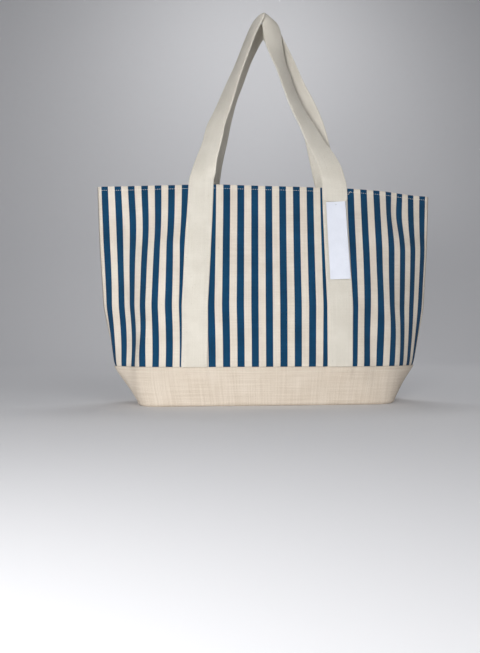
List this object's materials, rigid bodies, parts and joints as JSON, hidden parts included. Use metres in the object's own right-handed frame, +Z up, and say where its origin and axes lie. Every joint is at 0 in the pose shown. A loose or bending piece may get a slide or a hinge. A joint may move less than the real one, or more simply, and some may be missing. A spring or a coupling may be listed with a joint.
{
  "type": "striped canvas tote bag",
  "caption": "Open-topped striped canvas tote bag with a plain canvas base, sewn strap runs, two raised strap handles and a blank hang tag.",
  "frame": {"origin": "centre of the base's footprint, on the surface that the bag stands on", "axes": "+Z up along the raised handles; +Y through the bag from front to back; +X along the mouth to the right seen from the front"},
  "size_m": [0.5446, 0.145, 0.64],
  "materials": {
    "striped_canvas": "matte plain-weave canvas with blue and cream stripes",
    "natural_canvas": "matte natural canvas",
    "strap_canvas": "matte natural canvas strap",
    "thread": "cotton thread",
    "card": "smooth white card",
    "clear_plastic": "milky plastic"
  },
  "bodies": {
    "bag": {"front_panel": "striped_canvas", "back_panel": "striped_canvas", "base_panel": "natural_canvas", "left_side_seam": "natural_canvas", "right_side_seam": "natural_canvas", "front_hem_stitching": "thread", "front_base_stitching": "thread", "front_left_strap": "strap_canvas", "front_left_strap_inner_stitching": "thread", "front_left_strap_outer_stitching": "thread", "front_right_strap": "strap_canvas", "front_right_strap_inner_stitching": "thread", "front_right_strap_outer_stitching": "thread", "front_left_strap_top_stitching": "thread", "front_strap_join_tab": "strap_canvas", "front_tab_upper_stitching": "thread", "front_tab_lower_stitching": "thread", "back_hem_stitching": "thread", "back_base_stitching": "thread", "back_left_strap": "strap_canvas", "back_left_strap_inner_stitching": "thread", "back_left_strap_outer_stitching": "thread", "back_right_strap": "strap_canvas", "back_right_strap_inner_stitching": "thread", "back_right_strap_outer_stitching": "thread", "back_left_strap_top_stitching": "thread", "back_strap_join_tab": "strap_canvas", "back_tab_upper_stitching": "thread", "back_tab_lower_stitching": "thread"},
    "front_handle": {"front_handle_loop": "strap_canvas"},
    "back_handle": {"back_handle_loop": "strap_canvas"},
    "tag_stud": {"tag_fastener": "clear_plastic"},
    "tag": {"hang_tag": "card"}
  },
  "joints": [
    {"name": "front_handle_swing", "type": "hinge", "parent": "bag", "child": "front_handle", "pos_m": [0, -0.03603, 0.3446], "axis": [1, 0, 0], "range_deg": [0, 160]},
    {"name": "back_handle_swing", "type": "hinge", "parent": "bag", "child": "back_handle", "pos_m": [0, 0.03603, 0.3446], "axis": [-1, 0, 0], "range_deg": [0, 172]},
    {"name": "tag_turn", "type": "hinge", "parent": "bag", "child": "tag_stud", "pos_m": [0.10171, -0.04323, 0.31355], "axis": [0, -0.9893, 0.1461], "range_deg": [-25, 25]},
    {"name": "tag_lift", "type": "hinge", "parent": "tag_stud", "child": "tag", "pos_m": [0.10171, -0.04323, 0.31355], "axis": [-1, 0, 0], "range_deg": [0, 12]}
  ]
}
